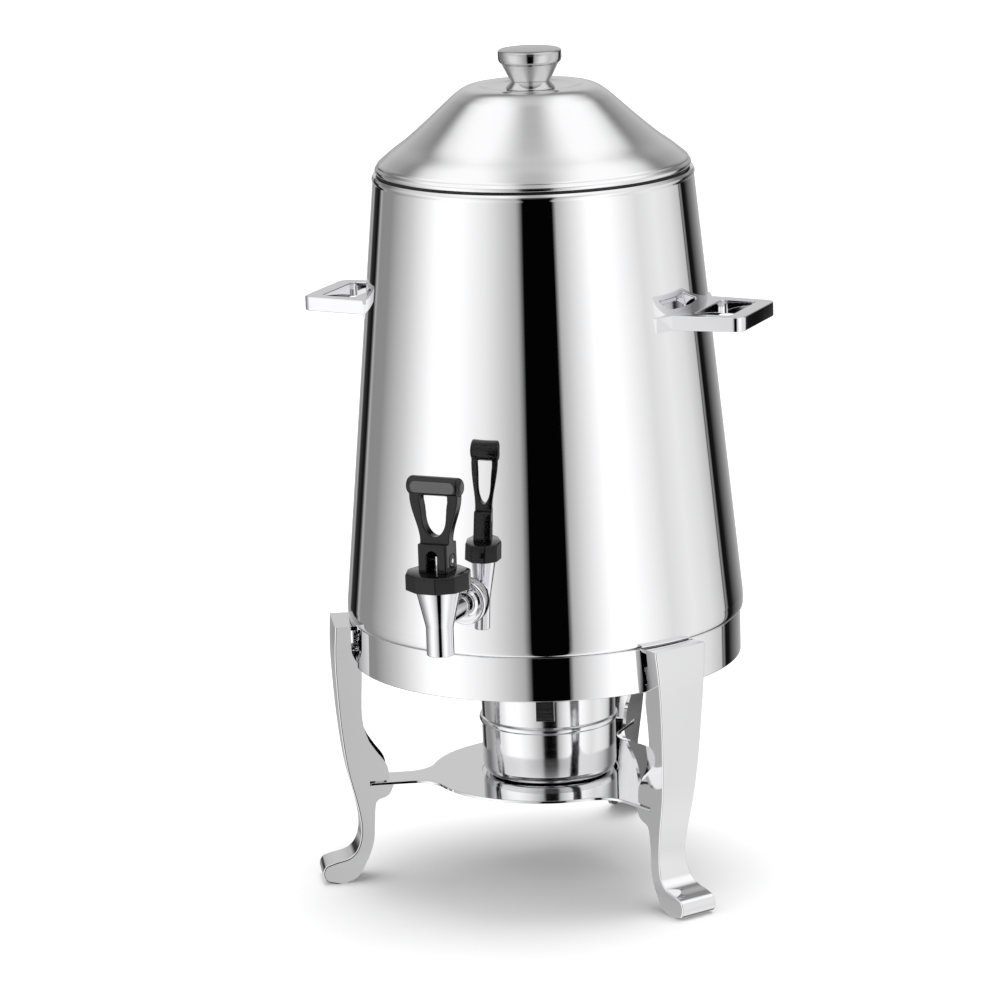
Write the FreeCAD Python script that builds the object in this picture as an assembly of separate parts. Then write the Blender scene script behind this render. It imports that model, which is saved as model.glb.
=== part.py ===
import FreeCAD, Part
import math
import os

# Coffee urn on a three-legged stand with a fuel burner.
# Millimetres, +Z up. The origin is on the floor, on the urn's upright axis.
# The tap points along -Y, the handles along +X and -X.

Vector = FreeCAD.Vector
UP = Vector(0, 0, 1)
AXIS = Vector(0, 0, 0)

# Stand: a ring on three pressed channel legs, with a shelf plate between them
stand_height = 187.5
ring_radius = 136.0
ring_height = 31.0
ring_wall = 1.8
ledge_width = 9.0
ledge_thickness = 2.0
leg_standoff = 14.0
leg_web = 2.6
leg_tuck = 4.0
leg_bend = 3.0
leg_flange_gap = 3.0
leg_reach = 45.0
leg_ear_depth = 24.0
leg_slot_depth = 21.0
gusset_rise = 49.0
leg_flange = 2.2
leg_top_width = 43.0
leg_knee_width = 32.0
leg_ankle_width = 23.0
leg_toe_width = 29.0
leg_count = 3
leg_bolt_radius = 3.0
leg_bolt_head_radius = 5.0
leg_bolt_head_height = 3.4
leg_bolt_drop = 20.0
leg_bolt_grip = 7.0
leg_boss_radius = 6.5
shelf_height = 71.5
shelf_thickness = 2.0
shelf_radius = 84.0
shelf_fillet = 22.0
shelf_seat_depth = 0.8
slot_headroom = 1.4
slot_reach = 7.0

# Urn body: a tapered shell with a rolled foot, a rolled rim and a pressed bottom
body_foot_radius = 138.2
body_top_radius = 110.4
body_height = 310.5
foot_roll = 11.0
rim_height = 5.0
rim_bulge = 0.5
rim_width = 4.2
shell_wall = 1.0
skirt_depth = 8.0
skirt_gap = 0.4
pan_wall = 1.0
pan_flange = 6.5
pan_well_radius = 96.0
pan_well_rise = 3.0

# Lid and knob
lid_inset = 1.8
lid_height = 59.0
lid_rim_height = 6.5
lid_crest_radius = 39.0
lid_wall = 1.0
lid_lip_depth = 10.0
lid_lip_gap = 0.5
lid_seam = 1.4
lid_recess = 2.0
lid_dish_radius = 23.0
lid_dish_depth = 2.8
knob_radius = 21.8
knob_neck_radius = 13.3
knob_foot_radius = 16.8
knob_neck_height = 4.8
knob_height = 28.5
knob_band = 8.0
knob_screw_radius = 2.5
knob_screw_length = 14.0
screw_head_radius = 4.6
screw_head_height = 2.6
washer_radius = 7.5
washer_thickness = 1.0

# Handles: flat cast loops
handle_height = 220.5
handle_thickness = 10.0
handle_overhang = 25.3
handle_root_width = 76.0
handle_end_width = 67.0
handle_pad_width = 102.0
handle_bar = 7.5
handle_end_bar = 11.5
handle_plate = 7.5
handle_pad_wall = 1.2
handle_pad_set = 4.0
handle_corner = 8.0
handle_window_corner = 4.0
handle_edge = 0.8
handle_screw_radius = 2.5
handle_screw_length = 12.0
handle_screw_spacing = 61.0
handle_washer_radius = 6.0
handle_washer_thickness = 1.6

# Tap
tap_standoff = 42.8
tap_height = 38.0
spout_length = 19.5
spout_radius = 9.3
spout_bore = 7.4
cone_radius = 15.6
cone_height = 26.5
cone_drop = 6.0
throat_radius = 4.6
seat_depth = 2.2
chamber_radius = 7.9
chamber_top_radius = 12.2
shank_radius = 7.6
shank_bore = 4.4
shank_nut_width = 24.0
shank_nut_thickness = 6.0
shank_tail = 3.0
hole_clearance = 0.4
gasket_radius = 13.5
gasket_thickness = 2.6
flange_radius = 15.5
flange_thickness = 3.4
bonnet_radius = 22.3
bonnet_height = 11.5
bonnet_roof = 3.4
bonnet_sides = 10
collar_radius = 14.0
collar_height = 7.0
stem_radius = 2.5
stem_clearance = 0.06
stem_collar_radius = 5.4
stem_collar_height = 2.0
cup_radius = 6.3
cup_height = 8.0
spring_wire = 1.0
spring_radius = 4.4
spring_turns = 4
pin_radius = 1.5
pin_clearance = 0.05

# Lever of the tap
lever_gap = 0.1
lever_block_width = 21.0
lever_block_depth = 18.0
lever_block_height = 19.5
lever_hub_radius = 4.5
lever_hub_width = 22.0
lever_pin_height = 7.5
lever_slot_width = 8.4
lever_slot_height = 15.0
lever_slot_back = 4.8
lever_fork_width = 34.0
lever_fork_depth = 8.0
lever_window_width = 20.0
lever_window_height = 28.0
lever_bar_length = 39.0
lever_bar_radius = 6.5
lever_inset_depth = 0.7
lever_height = 64.0

# Burner: a fuel cup with a cover, and a damper plate that swings over its mouth
burner_radius = 47.0
burner_cup_height = 42.3
burner_cover_height = 21.0
burner_wall = 1.0
burner_roll = 7.0
burner_bead = 1.8
burner_mouth_radius = 28.0
cover_lip = 5.0
cover_gap = 0.3
damper_radius = 33.0
damper_thickness = 1.2
damper_tab_width = 13.0
damper_tab_drop = 17.0
damper_tab_gap = 0.8
damper_turn = 20.0
rivet_radius = 2.0
rivet_head_radius = 4.0
rivet_head_height = 1.5
rivet_clearance = 0.05

# Levels and radii that follow from the sizes above
ring_bottom = stand_height - ring_height
ledge_top = stand_height - skirt_depth
body_top = stand_height + body_height
body_foot = stand_height + foot_roll
rim_foot = body_top - rim_height
skirt_radius = ring_radius - ring_wall - skirt_gap
handle_reach = body_foot_radius + handle_overhang
lid_radius = body_top_radius - lid_inset
rim_inner_radius = body_top_radius - rim_width
lid_lip_radius = rim_inner_radius - lid_lip_gap
lid_top = body_top + lid_height
knob_seat = lid_top - lid_dish_depth
tap_axis = stand_height + tap_height
tap_y = -(body_foot_radius + tap_standoff)
cone_foot = tap_axis - cone_drop
cone_top = cone_foot + cone_height
spout_foot = cone_foot - spout_length
chamber_foot = tap_axis - shank_bore - 3.0
bonnet_foot = cone_top
bonnet_top = bonnet_foot + bonnet_height
collar_top = bonnet_foot + collar_height
pin_z = bonnet_top + lever_gap + lever_pin_height
burner_foot = shelf_height - shelf_seat_depth
burner_cup_top = burner_foot + burner_cup_height
burner_top = burner_cup_top + burner_cover_height


def body_radius(z):
    """Outer radius of the tapered body at height z."""
    share = (z - body_foot) / (rim_foot - body_foot)
    return body_foot_radius + share * (body_top_radius - body_foot_radius)


def place(pair, plane):
    """A flat point as a point in space, on the upright XZ, upright YZ or level XY plane."""
    a, b = pair
    return {"XZ": Vector(a, 0, b), "YZ": Vector(0, a, b), "XY": Vector(a, b, 0)}[plane]


def outline(start, *moves, plane="XZ"):
    """A face inside a closed outline.

    Each move is a point for a straight line, two points for an arc through the first,
    or three or more points for a smooth curve through them all.
    """
    first = place(start, plane)
    last = first
    edges = []
    for move in moves:
        if isinstance(move, tuple):
            move = [move]
        points = [place(pair, plane) for pair in move]
        if len(points) == 1:
            edges.append(Part.LineSegment(last, points[0]).toShape())
        elif len(points) == 2:
            edges.append(Part.Arc(last, points[0], points[1]).toShape())
        else:
            curve = Part.BSplineCurve()
            curve.interpolate([last] + points)
            edges.append(curve.toShape())
        last = points[-1]
    if last.distanceToPoint(first) > 1e-6:
        edges.append(Part.LineSegment(last, first).toShape())
    return Part.Face(Part.Wire(edges))


def turned(face):
    """The solid that a face on the XZ plane makes when it is turned about the upright axis."""
    return face.revolve(AXIS, UP, 360)


def crown(radius, edge_z, top_z):
    """An arc from (radius, edge_z) over to (0, top_z) on the axis, with its centre on the axis."""
    rise = top_z - edge_z
    ball = (radius ** 2 + rise ** 2) / (2 * rise)
    half = math.asin(radius / abs(ball)) / 2
    return [(abs(ball) * math.sin(half), top_z - ball + ball * math.cos(half)), (0, top_z)]


def bar_along(direction, start, length, radius):
    """A round bar from a start point."""
    return Part.makeCylinder(radius, length, start, direction)


def rounded(shape, radius, keep):
    """The shape with a fillet on each edge that the test picks."""
    return shape.makeFillet(radius, [edge for edge in shape.Edges if keep(edge)])


def upright(edge):
    """True for a straight edge that runs along Z."""
    return len(edge.Vertexes) == 2 and abs(edge.tangentAt(edge.FirstParameter).z) > 0.999


def azimuth(shape, degrees):
    """The shape, built along +X, turned to a direction counted from -Y towards +X."""
    copy = shape.copy()
    copy.rotate(AXIS, UP, degrees - 90)
    return copy


def body_solid(inset):
    """The solid inside the tapered wall, set in from its outer face."""
    low = stand_height
    high = body_top + 5
    foot = body_radius(low) - inset
    return Part.makeCone(foot, body_radius(high) - inset, high - low, Vector(0, 0, low))


# Stand ring
def make_stand_ring():
    wall = turned(outline(
        (ring_radius - ring_wall, ring_bottom), (ring_radius, ring_bottom),
        (ring_radius, stand_height), (ring_radius - ring_wall, stand_height)))
    for index in range(leg_count):
        hole = bar_along(Vector(1, 0, 0), Vector(ring_radius - 4 * ring_wall, 0, bolt_z), 20, leg_bolt_radius)
        wall = wall.cut(azimuth(hole, leg_azimuth(index)))
    return wall


def make_ring_ledge():
    outer = ring_radius - ring_wall
    inner = outer - ledge_width
    foot = ledge_top - ledge_thickness
    lip = foot - 2 * ledge_thickness
    return turned(outline(
        (inner, foot), (outer - ledge_thickness, foot), (outer - ledge_thickness, lip), (outer, lip),
        (outer, ledge_top), (inner, ledge_top)))


# Legs
bolt_z = stand_height - leg_bolt_drop


def leg_azimuth(index):
    """Direction of a leg: two in front, either side of the tap, and one behind."""
    return 180.0 + (index + 1) * 360.0 / leg_count


def leg_face(inset):
    """Points down the face of the leg, from its top to the toe, set in by a wall's thickness."""
    shape = ((0.0, 1.0), (1.0, 0.88), (0.2, 0.75), (-1.7, 0.60), (-5.4, 0.44), (-11.8, 0.29),
             (-13.8, 0.20), (-11.2, 0.135), (-4.7, 0.098), (7.0, 0.080))
    root = ring_radius + leg_standoff
    curve = Part.BSplineCurve()
    curve.interpolate([place((root + out, share * stand_height), "XZ") for out, share in shape])
    points = []
    steps = 9
    for step in range(steps):
        at = curve.FirstParameter + (curve.LastParameter - curve.FirstParameter) * step / (steps - 1)
        tangent = curve.tangent(at)[0]
        point = curve.value(at)
        points.append((point.x + tangent.z * inset, point.z - tangent.x * inset))
    return points


def leg_side():
    """Side view of a leg: the curled face, the foot, the gusset for the shelf and the cap."""
    face = leg_face(0)
    root = ring_radius
    toe_x, toe_z = face[-1]
    nose = toe_z / 2
    cap_foot = stand_height - leg_web
    slot_top = shelf_height + slot_headroom
    slot_foot = shelf_height - shelf_thickness
    return outline(
        (root - leg_tuck, stand_height), face[0], face[1:],
        [(toe_x + 0.7 * nose, toe_z - 0.3 * nose), (toe_x + nose, nose)],
        [(toe_x + 0.7 * nose, 0.25 * nose), (toe_x - 0.2 * nose, 0)],
        (root + 14.0, 0),
        [(root + 4.0, 4.0), (root - 3.0, 15.0), (root - 8.6, 30.0), (root - 10.4, slot_foot - 16.5)],
        [(root - 12.6, slot_foot - 11.0), (root - 17.5, slot_foot - 9.0)],
        [(root - leg_slot_depth, slot_foot - 6.5), (root - leg_ear_depth, slot_foot)],
        (root - leg_slot_depth, slot_top),
        (root - leg_slot_depth, slot_top + 4.0),
        [(root - 19.0, slot_top + 12.0), (root - 12.0, slot_top + 0.45 * gusset_rise),
         (root - 6.5, slot_top + 0.65 * gusset_rise), (root - 3.0, slot_top + gusset_rise),
         (root - leg_tuck, ring_bottom)],
        (root - leg_tuck, ring_bottom + 3.0),
        [(root + 0.5, ring_bottom + 6.5), (root + leg_flange_gap - 0.3, ring_bottom + 12.0),
         (root + leg_flange_gap, ring_bottom + 18.0)],
        (root + leg_flange_gap, cap_foot - 1.0),
        (root + leg_flange_gap - 1.0, cap_foot),
        (root - leg_tuck, cap_foot))


def leg_front(inset):
    """Front view of a leg, set in by the flange's thickness, as a face across the leg."""
    half = [width / 2 - inset for width in (leg_top_width, leg_knee_width, leg_ankle_width, leg_toe_width)]
    levels = (stand_height, 0.58 * stand_height, 0.22 * stand_height, 0.06 * stand_height)
    right = [(half[1] + 0.4, levels[1]), (half[2], levels[2]), (half[3], levels[3])]
    left = [(-x, z) for x, z in reversed(right)]
    return outline(
        (half[0], levels[0]), right, (half[3], 0), (-half[3], 0), left[0],
        left[1:] + [(-half[0], levels[0])], plane="YZ")


def make_leg():
    start = ring_radius - leg_reach
    depth = 3 * leg_reach
    side = leg_side()
    side.translate(Vector(0, -leg_top_width, 0))
    solid = side.extrude(Vector(0, 2 * leg_top_width, 0))
    front = leg_front(0)
    front.translate(Vector(start, 0, 0))
    solid = solid.common(front.extrude(Vector(depth, 0, 0)))
    solid = rounded(solid, leg_bend, lambda edge: edge.BoundBox.ZLength > 0.5 * stand_height
                    and edge.BoundBox.XMin > ring_radius - leg_tuck)
    back = leg_face(leg_web)
    hollow = outline((start, stand_height + 1), (back[0][0], stand_height + 1), back[0], back[1:],
                     (back[-1][0] - 1.5, back[-1][1] - 1.0), (back[-1][0] - 4.0, -1.0), (start, -1.0))
    hollow.translate(Vector(0, -leg_top_width, 0))
    hollow = hollow.extrude(Vector(0, 2 * leg_top_width, 0))
    inner = leg_front(leg_flange)
    inner.translate(Vector(start, 0, 0))
    hollow = hollow.common(inner.extrude(Vector(depth, 0, 0)))
    under_cap = Part.makeBox(depth, 2 * leg_top_width, stand_height - leg_web + 1,
                             Vector(start, -leg_top_width, -1))
    shell = solid.cut(hollow.common(under_cap))
    slot_foot = shelf_height - shelf_thickness
    slot = Part.makeBox(
        leg_reach - slot_reach, 2 * leg_top_width, shelf_thickness + slot_headroom,
        Vector(start, -leg_top_width, slot_foot))
    shell = shell.cut(slot)
    boss = bar_along(Vector(1, 0, 0), Vector(ring_radius - 3, 0, bolt_z), 2 * leg_standoff, leg_boss_radius)
    boss = boss.common(space_behind_face())
    shell = shell.fuse(boss)
    shell = shell.cut(Part.makeCylinder(ring_radius, 2 * ring_height, Vector(0, 0, ring_bottom)))
    bolt_hole = bar_along(Vector(1, 0, 0), Vector(start, 0, bolt_z), leg_reach + leg_bolt_grip,
                          leg_bolt_radius)
    return shell.cut(bolt_hole)


def space_behind_face():
    """The space behind the leg's face, which trims the bolt boss."""
    back = leg_face(leg_web * 0.7)
    start = ring_radius - leg_reach
    block = outline((start, stand_height), back[0], back[1:], (start, back[-1][1]))
    block.translate(Vector(0, -leg_top_width, 0))
    return block.extrude(Vector(0, 2 * leg_top_width, 0))


def make_leg_bolt():
    inner = ring_radius - ring_wall
    shank = bar_along(Vector(1, 0, 0), Vector(inner - 1, 0, bolt_z), leg_bolt_grip + ring_wall + 1,
                      leg_bolt_radius)
    head = bar_along(Vector(1, 0, 0), Vector(inner - leg_bolt_head_height, 0, bolt_z),
                     leg_bolt_head_height + 1, leg_bolt_head_radius)
    socket = bar_along(Vector(1, 0, 0), Vector(inner - leg_bolt_head_height, 0, bolt_z), 2.0, 2.2)
    inside = Part.makeCylinder(inner, ring_height, Vector(0, 0, ring_bottom))
    return head.common(inside).cut(socket).fuse(shank)


def make_shelf():
    plate = Part.makeCylinder(shelf_radius, shelf_thickness, Vector(0, 0, shelf_height - shelf_thickness))
    arm_reach = ring_radius - slot_reach - 0.5
    arm_half = leg_ankle_width / 2 + 1.0
    for index in range(leg_count):
        arm = Part.makeBox(arm_reach, 2 * arm_half, shelf_thickness,
                           Vector(0, -arm_half, shelf_height - shelf_thickness))
        plate = plate.fuse(azimuth(arm, leg_azimuth(index)))
    plate = plate.removeSplitter()
    plate = rounded(plate, shelf_fillet, lambda edge: upright(edge)
                    and math.hypot(edge.Vertexes[0].X, edge.Vertexes[0].Y) < shelf_radius + 1)
    seat = Part.makeCylinder(burner_radius + 1.0, shelf_seat_depth, Vector(0, 0, burner_foot))
    return plate.cut(seat)


# Urn body
def make_body_shell():
    wall = shell_wall
    foot_z = stand_height
    skirt_out = skirt_radius
    outer_roll = [(body_foot_radius - 0.6, foot_z + 0.35 * foot_roll), (skirt_out, foot_z)]
    inner_roll = [(body_foot_radius - 0.6 - wall, foot_z + 0.38 * foot_roll + wall / 2),
                  (body_foot_radius - wall, body_foot)]
    shell = turned(outline(
        (body_top_radius, rim_foot), (body_foot_radius, body_foot), outer_roll,
        (skirt_out, ledge_top + pan_wall), (skirt_out - wall, ledge_top + pan_wall),
        (skirt_out - wall, foot_z + wall), inner_roll, (body_top_radius - wall, rim_foot),
        (rim_inner_radius, rim_foot + 1.5), (rim_inner_radius, body_top),
        (body_top_radius - 0.6, body_top),
        [(body_top_radius + rim_bulge, body_top - rim_height / 2), (body_top_radius, rim_foot)]))
    hole = bar_along(Vector(0, 1, 0), Vector(0, tap_y, tap_axis), -tap_y / 2, shank_radius + hole_clearance)
    shell = shell.cut(hole)
    for side in (-1, 1):
        for end in (-1, 1):
            start = Vector(0, end * handle_screw_spacing / 2, handle_z)
            hole = bar_along(Vector(side, 0, 0), start, handle_reach, handle_screw_radius + hole_clearance)
            shell = shell.cut(hole)
    return shell


def make_base_pan():
    """Pressed bottom: a flange that sits on the ledge, a wall inside the skirt and a raised well."""
    outer = skirt_radius - shell_wall
    floor_z = stand_height
    top = floor_z + pan_wall
    rim = skirt_radius
    return turned(outline(
        (outer - pan_flange, ledge_top), (rim, ledge_top), (rim, ledge_top + pan_wall),
        (outer, ledge_top + pan_wall), (outer, top), (pan_well_radius + 3, top),
        (pan_well_radius, top + pan_well_rise), (0, top + pan_well_rise),
        (0, top + pan_well_rise - pan_wall), (pan_well_radius - 0.6, top + pan_well_rise - pan_wall),
        (pan_well_radius + 2.4, top - pan_wall), (outer - pan_wall, top - pan_wall),
        (outer - pan_wall, ledge_top + pan_wall), (outer - pan_flange, ledge_top + pan_wall)))


# Lid
lid_line = ((0.027, 0.119), (0.155, 0.246), (0.31, 0.381), (0.511, 0.585), (0.704, 0.793),
            (0.805, 0.898), (0.90, 0.971))
dish_line = ((0, 0), (0.37, 0.22), (0.7, 0.72), (1, 1))


def lid_curve(inset):
    """Points up the lid from its rim, over the crest and into the dish, set in by the wall."""
    run = lid_radius - lid_crest_radius
    flare = [(lid_radius - share * run - inset, body_top + rise * lid_height - 0.75 * inset)
             for share, rise in lid_line]
    width = lid_crest_radius - lid_dish_radius
    dish = [(lid_crest_radius - share * width, lid_top - fall * lid_dish_depth - inset)
            for share, fall in dish_line]
    return flare + dish


def make_lid_shell():
    wall = lid_wall
    outer = lid_curve(0)
    inner = lid_curve(wall)
    rim_top = body_top + lid_rim_height
    skirt = body_top + lid_seam
    seat = lid_radius - lid_recess
    lip = lid_lip_radius
    return turned(outline(
        (0, knob_seat), (0, knob_seat - wall), inner[-1], list(reversed(inner[:-1])),
        (lip - wall, body_top + 2 * lid_seam), (lip - wall, body_top - lid_lip_depth),
        (lip, body_top - lid_lip_depth), (lip, body_top), (seat, body_top), (seat, skirt),
        (lid_radius, skirt), (lid_radius, rim_top - 2.0),
        [(lid_radius - 0.5, rim_top - 0.5), (outer[0][0], outer[0][1])],
        outer[1:])).cut(bar_along(UP, Vector(0, 0, knob_seat - 2 * wall), 3 * wall, knob_screw_radius))


def make_lid_knob():
    foot = knob_seat
    top = foot + knob_height
    band_top = top - 2.2
    band_foot = band_top - knob_band
    knob = turned(outline(
        (0, foot), (knob_foot_radius, foot), (knob_foot_radius, foot + 0.8),
        (knob_neck_radius, foot + knob_neck_height),
        (knob_radius - 2.0, band_foot - 0.8),
        [(knob_radius - 0.4, band_foot + 0.6), (knob_radius, band_foot + 2.4)],
        (knob_radius, band_top - 0.8),
        [(knob_radius - 0.3, band_top), (knob_radius - 1.2, band_top + 0.4)],
        crown(knob_radius - 1.2, band_top + 0.4, top)))
    return knob.cut(bar_along(UP, Vector(0, 0, foot - 1), knob_screw_length - lid_wall + 1 - washer_thickness,
                              knob_screw_radius))


def make_knob_washer():
    foot = knob_seat - lid_wall - washer_thickness
    disc = bar_along(UP, Vector(0, 0, foot), washer_thickness, washer_radius)
    return disc.cut(bar_along(UP, Vector(0, 0, foot - 1), washer_thickness + 2, knob_screw_radius))


def make_knob_screw():
    seat = knob_seat - lid_wall - washer_thickness
    shank = bar_along(UP, Vector(0, 0, seat), knob_screw_length, knob_screw_radius)
    head = turned(outline(
        (0, seat), (screw_head_radius, seat), (screw_head_radius, seat - 0.6),
        crown(screw_head_radius, seat - 0.6, seat - screw_head_height)))
    slot = Part.makeBox(2.5 * screw_head_radius, 1.0, 1.2,
                        Vector(-1.25 * screw_head_radius, -0.5, seat - screw_head_height - 0.1))
    return head.cut(slot).fuse(shank)


# Handles
handle_z = stand_height + handle_height - handle_thickness / 2


def make_handle():
    """A flat loop along +X whose root is cut to the tapered body."""
    root = body_radius(handle_z)
    root_half = handle_root_width / 2
    end_half = handle_end_width / 2
    pad_half = handle_pad_width / 2
    pad_x = math.sqrt(root ** 2 - pad_half ** 2) + handle_pad_wall
    low = handle_z - handle_thickness / 2
    plan = outline(
        (root * 0.8, -pad_half), (pad_x, -pad_half), (root - handle_pad_set, -root_half),
        (handle_reach, -end_half), (handle_reach, end_half), (root - handle_pad_set, root_half),
        (pad_x, pad_half), (root * 0.8, pad_half), plane="XY")
    plan.translate(Vector(0, 0, low))
    loop = plan.extrude(Vector(0, 0, handle_thickness))
    loop = rounded(loop, handle_corner, lambda edge: upright(edge) and edge.Vertexes[0].X > handle_reach - 1)
    near = root + handle_plate
    far = handle_reach - handle_end_bar
    near_half = root_half - handle_bar - 3.0
    far_half = end_half - handle_bar
    window = outline((near, -near_half), (far, -far_half), (far, far_half), (near, near_half), plane="XY")
    window.translate(Vector(0, 0, low))
    window = rounded(window.extrude(Vector(0, 0, handle_thickness)), handle_window_corner, upright)
    loop = loop.cut(window)
    loop = rounded(loop, handle_edge, lambda edge: not upright(edge) and edge.BoundBox.XMin > root - 2)
    loop = loop.cut(body_solid(0))
    for end in (-1, 1):
        start = Vector(root / 2, end * handle_screw_spacing / 2, handle_z)
        length = handle_screw_end - root / 2
        loop = loop.cut(bar_along(Vector(1, 0, 0), start, length, handle_screw_radius))
    return loop


def handle_washer():
    """A soft washer between the inside of the tapered wall and a screw's flat head."""
    start = Vector(handle_screw_seat, handle_screw_spacing / 2, handle_z)
    disc = bar_along(Vector(1, 0, 0), start, 20, handle_washer_radius)
    disc = disc.common(body_solid(shell_wall))
    return disc.cut(bar_along(Vector(1, 0, 0), start, 20, handle_screw_radius))


def handle_screw():
    seat = Vector(handle_screw_seat, handle_screw_spacing / 2, handle_z)
    shank = bar_along(Vector(1, 0, 0), seat, handle_screw_end - handle_screw_seat, handle_screw_radius)
    head = bar_along(Vector(-1, 0, 0), seat, screw_head_height, screw_head_radius)
    head = rounded(head, 1.0, lambda edge: edge.BoundBox.XMax < handle_screw_seat - 1)
    slot = Part.makeBox(1.2, 1.0, 3 * screw_head_radius,
                        seat + Vector(-screw_head_height - 0.1, -0.5, -1.5 * screw_head_radius))
    return head.cut(slot).fuse(shank)


def four_ways(shape):
    """A piece at +X and +Y, with its copies at the other three handle ends."""
    mirrored = shape.mirror(AXIS, Vector(0, 1, 0))
    copies = [shape, mirrored]
    copies += [piece.mirror(AXIS, Vector(1, 0, 0)) for piece in (shape, mirrored)]
    return Part.makeCompound(copies)


handle_wall_x = math.sqrt((body_radius(handle_z) - shell_wall) ** 2 - (handle_screw_spacing / 2) ** 2)
handle_screw_seat = handle_wall_x - handle_washer_thickness - 1.2
handle_screw_end = handle_wall_x + handle_screw_length


# Tap
def tap_turned(face):
    """The solid that a face makes when it is turned about the tap's own upright axis."""
    solid = turned(face)
    solid.translate(Vector(0, tap_y, 0))
    return solid


def make_tap_body():
    wall_y = -body_radius(tap_axis)
    seat_z = chamber_foot
    outside = tap_turned(outline(
        (0, spout_foot), (spout_radius, spout_foot), (spout_radius, cone_foot), (cone_radius, cone_top),
        (collar_radius, cone_top), (collar_radius, collar_top), (0, collar_top)))
    shank_end = -(body_radius(tap_axis) - shell_wall - gasket_thickness - shank_nut_thickness - shank_tail)
    neck_y = wall_y - gasket_thickness - flange_thickness
    neck = bar_along(Vector(0, 1, 0), Vector(0, tap_y, tap_axis), neck_y - tap_y, shank_radius + 0.8)
    shank = bar_along(Vector(0, 1, 0), Vector(0, tap_y, tap_axis), shank_end - tap_y, shank_radius)
    solid = outside.fuse(neck).fuse(shank)
    bore = tap_turned(outline(
        (0, spout_foot - 1), (spout_bore, spout_foot - 1), (spout_bore, seat_z - seat_depth - 3),
        (throat_radius, seat_z - seat_depth), (throat_radius, seat_z), (chamber_radius, seat_z),
        (chamber_top_radius, cone_top - 2), (chamber_top_radius, collar_top + 1), (0, collar_top + 1)))
    way = bar_along(Vector(0, 1, 0), Vector(0, tap_y, tap_axis), shank_end - tap_y + 1, shank_bore)
    return solid.cut(bore).cut(way).removeSplitter()


def make_tap_flange():
    """Turned washer that covers the hole in the body, with a stepped face."""
    wall_y = -body_radius(tap_axis) - gasket_thickness
    step = flange_thickness / 3
    disc = turned(outline(
        (shank_radius, 0), (flange_radius, 0), (flange_radius, step),
        [(flange_radius - 0.8, 2 * step), (flange_radius - 2.6, 2.2 * step)],
        (flange_radius - 3.4, 1.8 * step), (shank_radius + 2.6, 1.8 * step),
        (shank_radius + 1.2, 3 * step), (shank_radius, 3 * step)))
    disc.rotate(AXIS, Vector(1, 0, 0), 90)
    disc.translate(Vector(0, wall_y, tap_axis))
    return disc


def make_gasket(outside):
    """A soft washer that takes up the body's curve on one side of the wall."""
    radius = body_radius(tap_axis)
    tube = bar_along(Vector(0, 1, 0), Vector(0, -radius - gasket_thickness, tap_axis),
                     2 * gasket_thickness + 6, gasket_radius)
    if outside:
        ring = tube.cut(body_solid(0))
    else:
        limit = -(radius - shell_wall - gasket_thickness)
        tube = bar_along(Vector(0, 1, 0), Vector(0, -radius - 5, tap_axis), limit + radius + 5, gasket_radius)
        ring = tube.common(body_solid(shell_wall))
    return ring.cut(bar_along(Vector(0, 1, 0), Vector(0, tap_y, tap_axis), -tap_y, shank_radius))


def polygon_bar(sides, radius, height, turn=0.0):
    """An upright bar with flat sides, by the radius of its corners."""
    corners = []
    for side in range(sides):
        angle = math.radians(turn + 360.0 * side / sides)
        corners.append((radius * math.cos(angle), radius * math.sin(angle)))
    return outline(corners[0], *corners[1:], plane="XY").extrude(Vector(0, 0, height))


def make_shank_nut():
    seat_y = -(body_radius(tap_axis) - shell_wall - gasket_thickness)
    nut = polygon_bar(6, shank_nut_width / math.sqrt(3), shank_nut_thickness)
    crown = turned(outline(
        (0, -1), (shank_nut_width / 2, -1), (shank_nut_width / 2 + 2.5, shank_nut_thickness / 2),
        (shank_nut_width / 2, shank_nut_thickness + 1), (0, shank_nut_thickness + 1)))
    nut = nut.common(crown).cut(bar_along(UP, Vector(0, 0, -1), shank_nut_thickness + 2, shank_radius))
    nut.rotate(AXIS, Vector(1, 0, 0), -90)
    nut.translate(Vector(0, seat_y, tap_axis))
    return nut


def make_tap_bonnet():
    """Ten-sided nut that closes the valve and guides the stem."""
    half_turn = 180.0 / bonnet_sides
    nut = polygon_bar(bonnet_sides, bonnet_radius, bonnet_height, half_turn - 90)
    flat = bonnet_radius * math.cos(math.radians(half_turn))
    crown = turned(outline(
        (0, -1), (flat + 0.2, -1), (bonnet_radius + 1, 1.4), (bonnet_radius + 1, bonnet_height - 1.8),
        (flat - 0.8, bonnet_height), (0, bonnet_height)))
    inside = turned(outline(
        (0, -1), (collar_radius, -1), (collar_radius, collar_height), (chamber_top_radius, collar_height),
        (chamber_top_radius, bonnet_height - bonnet_roof), (0, bonnet_height - bonnet_roof)))
    hole = bar_along(UP, Vector(0, 0, -1), bonnet_height + 2, stem_radius + stem_clearance)
    nut = nut.common(crown).cut(inside).cut(hole)
    nut.translate(Vector(0, tap_y, bonnet_foot))
    return nut


def make_seat_cup():
    foot = chamber_foot
    cup = tap_turned(outline(
        (0, foot), (cup_radius - 0.6, foot), (cup_radius, foot + 1.2), (cup_radius, foot + 2.4),
        [(cup_radius - 1.4, foot + 3.6), (stem_radius + 1.4, foot + cup_height)], (0, foot + cup_height)))
    return cup.cut(bar_along(UP, Vector(0, tap_y, foot + 2.0), cup_height, stem_radius))


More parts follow.
